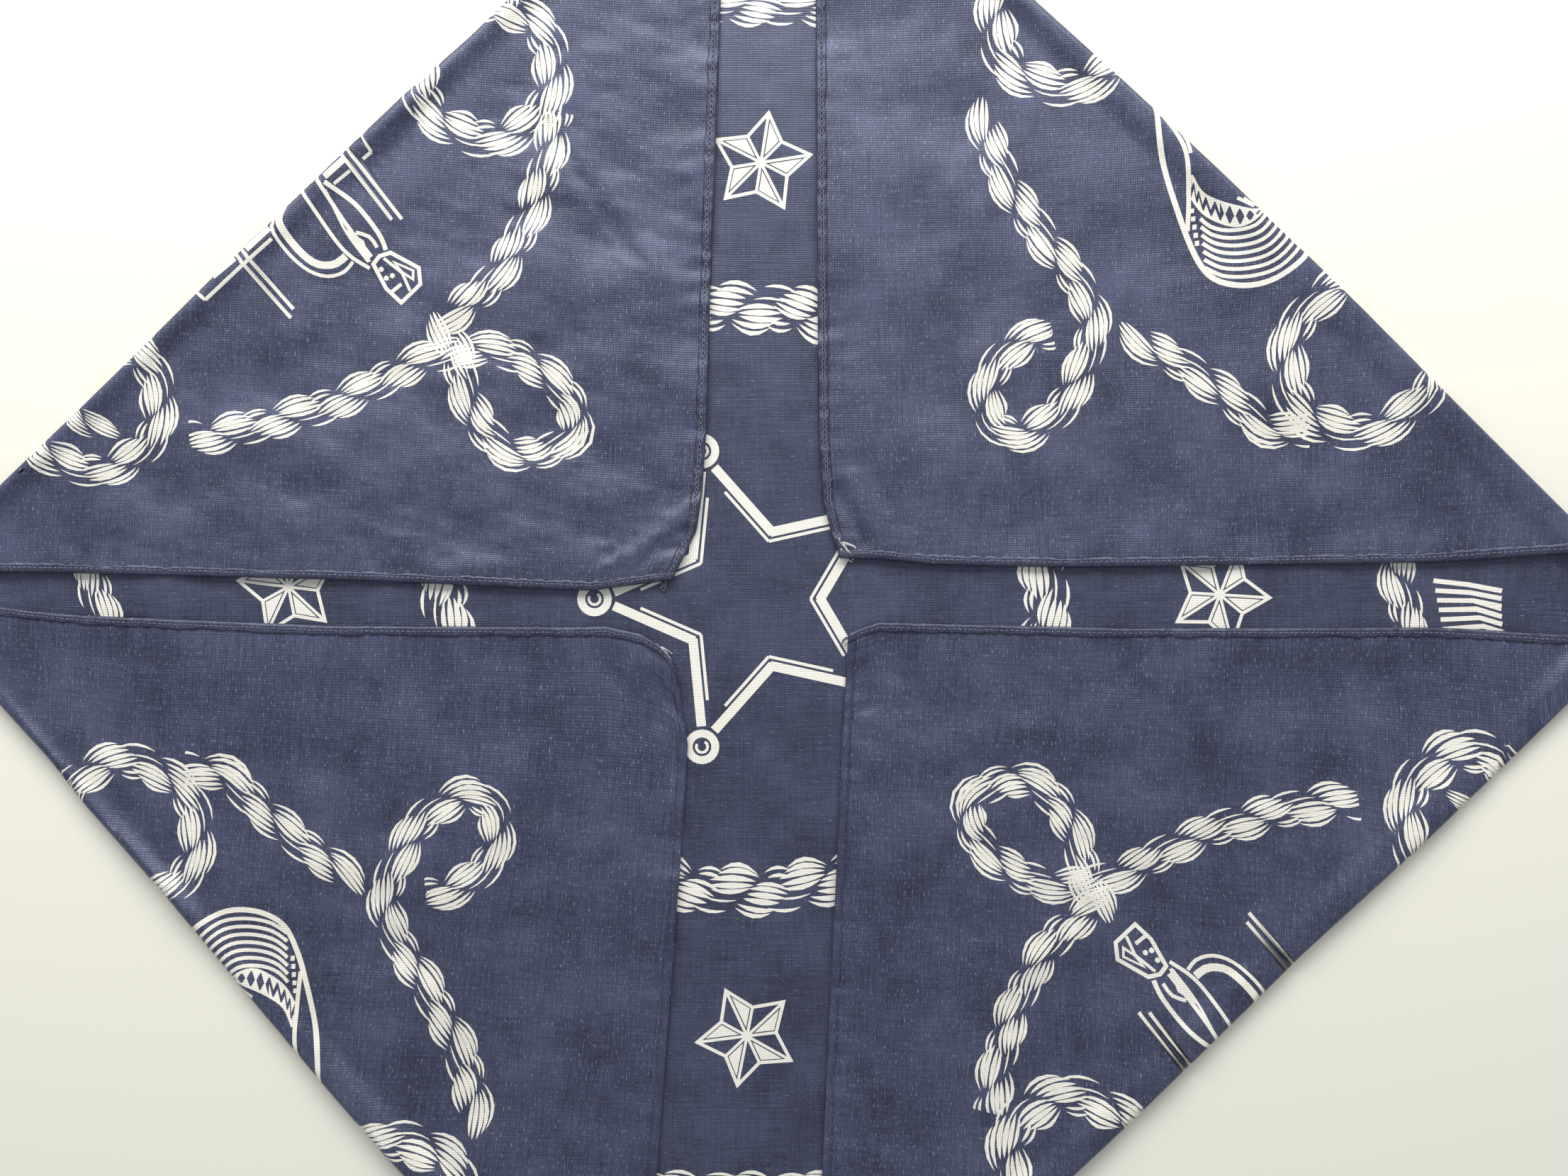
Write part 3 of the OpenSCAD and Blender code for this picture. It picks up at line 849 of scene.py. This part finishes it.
def inkedAt(spots):
    # Which of these flat points lie inside a printed outline
    order = np.argsort(spots[:, 0])
    across = spots[order, 0]
    inked = np.zeros(len(spots), bool)
    for shape in printed:
        first, last = np.searchsorted(across, (shape[:, 0].min(), shape[:, 0].max()))
        near = order[first:last]
        near = near[(spots[near, 1] > shape[:, 1].min()) & (spots[near, 1] < shape[:, 1].max())]
        if not len(near):
            continue
        x, y = spots[near, 0][:, None], spots[near, 1][:, None]
        start, end = shape, np.roll(shape, -1, 0)
        rise = end[:, 1] - start[:, 1]
        rise = np.where(rise == 0, 1e-9, rise)
        crosses = (start[:, 1] > y) != (end[:, 1] > y)
        left = x < start[:, 0] + (y - start[:, 1]) * (end[:, 0] - start[:, 0]) / rise
        inked[near] |= (crosses & left).sum(1) % 2 == 1
    return inked


def triangulateCloth():
    points = [flatPoints()]
    edges = []
    count = len(points[0])
    corners = [(x * halfWidth, y * halfHeight) for x, y in ((-1, -1), (1, -1), (1, 1), (-1, 1))]
    lines = [chain(corners[k], corners[(k + 1) % 4], grid["edgeStep"]) for k in range(4)]
    lines += [chain(*foldEnds(fold), grid["foldStep"]) for fold in folds]
    for line in lines:
        points.append(line)
        edges += [(count + i, count + i + 1) for i in range(len(line) - 1)]
        count += len(line)
    for shape in printed:
        points.append(shape)
        edges += [(count + i, count + (i + 1) % len(shape)) for i in range(len(shape))]
        count += len(shape)
    vectors = [Vector(p) for p in np.vstack(points).tolist()]
    flat, _, triangles, _, _, _ = delaunay_2d_cdt(vectors, edges, [], 0, 1e-4, False)
    flat = np.array([(p.x, p.y) for p in flat])
    triangles = np.array([list(t) for t in triangles])
    return flat, triangles, inkedAt(flat[triangles].mean(1))


def layersOf(flat, middle, normals, triangles, inked):
    # A closed sheet: the printed face, the back, and the cut edge round them
    used, own = np.unique(triangles, return_inverse=True)
    own = own.reshape(-1, 3)
    count = len(used)
    half = cloth["thickness"] / 2
    points = np.vstack([middle[used] + half * normals[used], middle[used] - half * normals[used]])
    # An edge that no triangle has the other way round is on the border
    directed = np.vstack([own[:, [0, 1]], own[:, [1, 2]], own[:, [2, 0]]])
    code = directed[:, 0] * count + directed[:, 1]
    border = directed[~np.isin(code, directed[:, 1] * count + directed[:, 0])]
    rim = np.column_stack([border[:, 1], border[:, 0], border[:, 0] + count, border[:, 1] + count])
    faces = own.tolist() + (own[:, ::-1] + count).tolist() + rim.tolist()
    material = np.concatenate([np.where(inked, 1, 0), np.where(inked, 3, 2), np.zeros(len(rim), int)])
    allNormals = np.vstack([normals[used], -normals[used]])
    return points, faces, material, np.vstack([flat[used], flat[used]]), allNormals


def makeCloth():
    flat, triangles, inked = triangulateCloth()
    middle, normals = surface(flat), faceNormals(flat)
    centres = flat[triangles].mean(1)
    reach = np.stack([(centres - fold["at"]) @ fold["inward"] for fold in folds])
    part = np.where(reach.min(0) < 0, reach.argmin(0), -1)
    names = {-1: "centre"} | {fold["number"]: fold["flap"] for fold in folds}
    replaced = {"centre": ["centre_panel"] + [fold["flap"].replace("flap", "fold") for fold in folds]}
    pieces = {}
    cottons = [navyFace, creamFace, navyBack, creamBack]
    for number, body in names.items():
        own = part == number
        points, faces, material, where, shading = layersOf(flat, middle, normals, triangles[own], inked[own])
        name = "cloth_" + body.replace("flap_", "")
        pieces[body] = addPiece(name, points, faces, cottons, body, replaced.get(body, [body]),
                                where, material, shading)
        print(name, len(faces), "faces")
    return pieces


sheets = makeCloth()
print("cloth made")

# The edges: a chain-stitched hem along the top, rolled hems at the sides and a selvedge along the bottom
hem = {
    "ringStep": 0.9,
    "stitchLength": 1.7,
    "stitchShare": 0.76,
    "threadRadius": 0.24,
    "stitchIn": 1.5,
    "chainLink": 1.8,
    "chainIn": 1.7,
    "chainRadius": 0.19,
    "looseEnd": 3,           # no stitches in the last stretch before a corner
}

# Outline of each edge as distance in from the cloth's edge and height over the printed face
rolledHem = [(-0.15, 0.02), (0.15, 0.26), (0.8, 0.30), (1.5, 0.20), (2.3, 0.27), (2.9, 0.19), (2.95, -0.17),
             (2.75, -0.50), (2.2, -0.68), (1.5, -0.50), (0.7, -0.72), (0.05, -0.45)]
chainHem = [(-0.1, 0.02), (0.15, 0.24), (0.9, 0.26), (1.7, 0.20), (2.7, 0.25), (3.3, 0.18), (3.35, -0.17),
            (3.2, -0.46), (2.5, -0.60), (1.7, -0.50), (0.7, -0.62), (0.05, -0.40)]
wovenEdge = [(-0.05, 0.0), (0.1, 0.22), (1.5, 0.2), (2.9, 0.17), (2.95, -0.17), (1.5, -0.22), (0.1, -0.2)]

sides = {
    "top": {"ends": ("upper_left", "upper_right"), "outline": chainHem, "nodes": "hem"},
    "bottom": {"ends": ("lower_left", "lower_right"), "outline": wovenEdge, "nodes": "selvedge"},
    "left": {"ends": ("lower_left", "upper_left"), "outline": rolledHem, "nodes": "hem"},
    "right": {"ends": ("lower_right", "upper_right"), "outline": rolledHem, "nodes": "hem"},
}


def onSide(side, along, inset, height):
    # Flat cloth points from a place along a side and a distance in from it
    along, inset, height = np.broadcast_arrays(along, inset, height)
    if side in ("top", "bottom"):
        edge = 1 if side == "top" else -1
        return np.stack([along, edge * (halfHeight - inset), height], -1)
    edge = 1 if side == "right" else -1
    return np.stack([edge * (halfWidth - inset), along, height], -1)


def stretches(side):
    # The three lengths of a side: on a flap, on the middle, on the other flap
    first, second = (foldOf["flap_" + name] for name in sides[side]["ends"])
    axis = 0 if side in ("top", "bottom") else 1
    low, high = (foldEnds(fold, 1.5)[axis][axis] for fold in (first, second))
    end = (halfWidth, halfHeight)[axis]
    names = sides[side]["ends"]
    return [("flap_" + names[0], names[0], -end, low), ("centre", "centre", low, high),
            ("flap_" + names[1], names[1], high, end)]


def sweepFaces(rings, around):
    # The faces of a tube from ring to ring, with a cap at each end
    faces = []
    for i in range(rings - 1):
        for k in range(around):
            n = (k + 1) % around
            faces.append((i * around + k, i * around + n, (i + 1) * around + n, (i + 1) * around + k))
    faces.append(tuple(range(around))[::-1])
    faces.append(tuple((rings - 1) * around + k for k in range(around)))
    return faces


def wantOutward(points, faces):
    # Turns all the faces over if the closed shape is inside out
    points = np.asarray(points)
    volume = 0
    for face in faces[:4000]:
        a = points[face[0]]
        for i in range(1, len(face) - 1):
            volume += np.dot(a, np.cross(points[face[i]], points[face[i + 1]]))
    return faces if volume > 0 else [face[::-1] for face in faces]


def makeHem(side, body, place, low, high):
    outline = np.array(sides[side]["outline"])
    rings = max(3, round((high - low) / hem["ringStep"]))
    along = np.linspace(low, high, rings)
    pulls = 0.17 * ripple(along, 0, 3.4, 61) + 0.20 * ripple(along, 0, 11, 62)
    swell = 1 + 0.28 * ripple(along, 0, 4.6, 63)
    inset = outline[None, :, 0] + pulls[:, None] * (outline[None, :, 0] > 1)
    height = outline[None, :, 1] * np.where(outline[None, :, 1] < -0.2, swell[:, None], 1)
    flat = onSide(side, along[:, None], inset, height).reshape(-1, 3)
    points = onCloth(flat)
    faces = wantOutward(points, sweepFaces(rings, len(outline)))
    kind = sides[side]["nodes"]
    name = f"{kind}_{side}_{place}"
    node = name if kind == "hem" else ("selvedge_bottom_centre" if place == "centre" else f"selvedge_{place}")
    material = shadedHemCotton if kind == "hem" else selvedgeCotton
    return addPiece("sewn_" + node, points, faces, [material], body, [node], flat)


def dash(length, radius, flatness=0.8):
    # A short stitch, thinner where it dives into the cloth: along, across, up
    shape = []
    rings = ((0, 0.25, -0.5), (0.14, 0.8, -0.1), (0.5, 1, 0.12), (0.86, 0.8, -0.1), (1, 0.25, -0.5))
    for share, swell, sink in rings:
        for k in range(6):
            turn = k * math.pi / 3
            shape.append((share * length, swell * radius * math.cos(turn),
                          radius * (sink + swell * flatness * math.sin(turn))))
    return np.array(shape), sweepFaces(len(rings), 6)


def strand(points, radius, around=5):
    # A round thread along points, in the same space as they are
    points = np.asarray(points, float)
    heading = np.gradient(points, axis=0)
    heading /= np.linalg.norm(heading, axis=1)[:, None]
    side = np.cross(heading, (0, 0, 1.0))
    side /= np.maximum(np.linalg.norm(side, axis=1), 1e-6)[:, None]
    lift = np.cross(side, heading)
    radius = np.broadcast_to(radius, len(points))
    shape = [points + radius[:, None] * (math.cos(a) * side + math.sin(a) * lift)
             for a in np.arange(around) * 2 * math.pi / around]
    return np.stack(shape, 1).reshape(-1, 3), sweepFaces(len(points), around)


def stitchRow(side, body, place, low, high, kind, node):
    # Straight stitches, or the chain's links, one after another along a side
    pick = np.random.default_rng(90 + len(node))
    onFace = kind == "needle"
    linked = kind == "looper"
    pitch = hem["chainLink"] if linked else hem["stitchLength"]
    count = int((high - low) // pitch)
    sideIn = hem["chainIn"] if side == "top" else hem["stitchIn"]
    flat, faces, used = [], [], 0
    for i in range(count):
        start = low + (i + 0.5 * (high - low - count * pitch) / pitch) * pitch
        if linked:
            parts = []
            for way in (-1, 1):
                route = [(-0.25, 0.06 * way, 0.05), (0.3, 0.36 * way, 0.16), (0.95, 0.46 * way, 0.2),
                         (1.5, 0.30 * way, 0.22), (2.0, 0.05 * way, 0.12)]
                parts.append(strand(np.array(route), hem["chainRadius"]))
        else:
            parts = [dash(pitch * hem["stitchShare"], hem["threadRadius"])]
        lean, drift = pick.normal(0, 0.05), pick.normal(0, 0.05)
        for shape, ownFaces in parts:
            along = start + shape[:, 0]
            inset = sideIn + drift + shape[:, 1] + lean * shape[:, 0]
            rise = shape[:, 2] + (0.30 if onFace else 0.60)
            flat.append(onSide(side, along, inset, rise if onFace else -rise))
            faces += [tuple(k + used for k in face) for face in ownFaces]
            used += len(shape)
    flat = np.vstack(flat)
    points = onCloth(flat)
    faces = wantOutward(points, faces)
    return addPiece("stitched_" + node, points, faces, [seamThread], body, [node], flat)


def makeEdges():
    made = {body: [] for body in sheets}
    for side in sides:
        for body, place, low, high in stretches(side):
            made[body].append(makeHem(side, body, place, low, high))
            if side == "bottom":
                continue
            margin = 0 if place == "centre" else hem["looseEnd"]
            low, high = (low + (margin if low < -200 else 0), high - (margin if high > 200 else 0))
            under = "looper" if side == "top" else "bobbin"
            for kind in ("needle", under):
                node = f"{kind}_thread_{side}_{place}"
                made[body].append(stitchRow(side, body, place, low, high, kind, node))
    return made


edges = makeEdges()
print("hems and stitches made")

# Loose ends at the flaps' tips, as world points: where the seam's threads run out and have frayed
tails = {
    "upper_left": {"radius": 0.5, "thread": seamThread, "routes": [
        [(-24.6, 11.4, 2.3), (-26.6, 9.0, 2.2), (-27.0, 6.4, 1.8), (-28.6, 4.6, 1.6), (-29.4, 3.2, 1.4)],
        [(-24.8, 11.0, 2.2), (-26.4, 7.8, 2.0), (-28.0, 5.6, 1.6), (-27.6, 3.4, 1.4), (-28.8, 2.6, 1.3)],
        [(-25.0, 10.8, 2.1), (-27.2, 7.4, 1.9), (-29.2, 5.8, 1.5), (-28.8, 4.0, 1.3)]]},
    "upper_right": {"radius": 0.55, "thread": tailThread, "routes": [
        [(28.4, 20.4, 2.3), (30.4, 18.0, 2.8), (32.4, 15.2, 2.7), (34.8, 14.0, 2.0), (35.6, 15.6, 1.8)],
        [(29.0, 19.4, 2.2), (32.0, 17.8, 2.7), (34.4, 17.4, 2.2), (35.4, 15.0, 1.6), (33.6, 12.8, 1.5)],
        [(28.6, 18.6, 2.0), (30.2, 15.8, 2.5), (31.8, 13.4, 2.1), (33.6, 12.2, 1.4)]]},
    "lower_right": {"radius": 0.3, "thread": seamThread, "routes": [
        [(34.0, -12.2, 2.0), (32.0, -12.4, 2.0), (30.6, -13.4, 1.7), (29.8, -15.2, 1.4)],
        [(33.6, -12.6, 2.0), (31.4, -13.2, 1.9), (30.2, -14.8, 1.4)]]},
    "lower_left": {"radius": 0.36, "thread": tailThread, "routes": [
        [(-31.0, -14.8, 2.4), (-28.8, -16.4, 2.6), (-27.0, -18.2, 2.4), (-25.8, -20.4, 1.7)],
        [(-30.4, -15.4, 2.3), (-28.0, -17.6, 2.5), (-26.6, -19.8, 2.0), (-26.8, -21.6, 1.5)],
        [(-29.4, -15.6, 2.4), (-27.2, -16.8, 2.4), (-25.6, -18.0, 1.8)]]},
}


def makeTail(corner):
    points, faces, used = [], [], 0
    count = 14
    for number, route in enumerate(tails[corner]["routes"]):
        path = np.array(route, float)
        steps = np.linspace(0, len(path) - 1, count)
        smooth = np.column_stack([np.interp(steps, range(len(path)), path[:, k]) for k in range(3)])
        for _ in range(3):
            smooth[1:-1] = (smooth[:-2] + 2 * smooth[1:-1] + smooth[2:]) / 4
        wobble = 0.18 * np.sin(np.arange(count) * 1.9 + number)
        smooth[:, 0] += wobble
        taper = tails[corner]["radius"] * np.linspace(1, 0.35, count) ** 0.7
        ownPoints, ownFaces = strand(smooth, taper, 6)
        points.append(ownPoints)
        faces += [tuple(k + used for k in face) for face in ownFaces]
        used += len(ownPoints)
    points = np.vstack(points)
    node = "thread_tail_" + corner
    return addPiece("frayed_" + node, points, wantOutward(points, faces), [tails[corner]["thread"]],
                    "flap_" + corner, [node], points[:, :2])


for corner in tails:
    edges["flap_" + corner].append(makeTail(corner))
print("thread tails made")


def polygonArea(points):
    x, y = np.asarray(points).T
    return abs(np.dot(x, np.roll(y, -1)) - np.dot(y, np.roll(x, -1))) / 2


def declareSheets():
    # Works out the flat area of each flap's corner and what is left of the square, and keeps neither
    loose = 4 * halfWidth * halfHeight
    for fold in folds:
        corner = np.sign(fold["at"]) * (halfWidth, halfHeight)
        atEnd, atSide = foldEnds(fold)
        area = polygonArea([corner, atEnd, atSide])
        loose -= area


declareSheets()
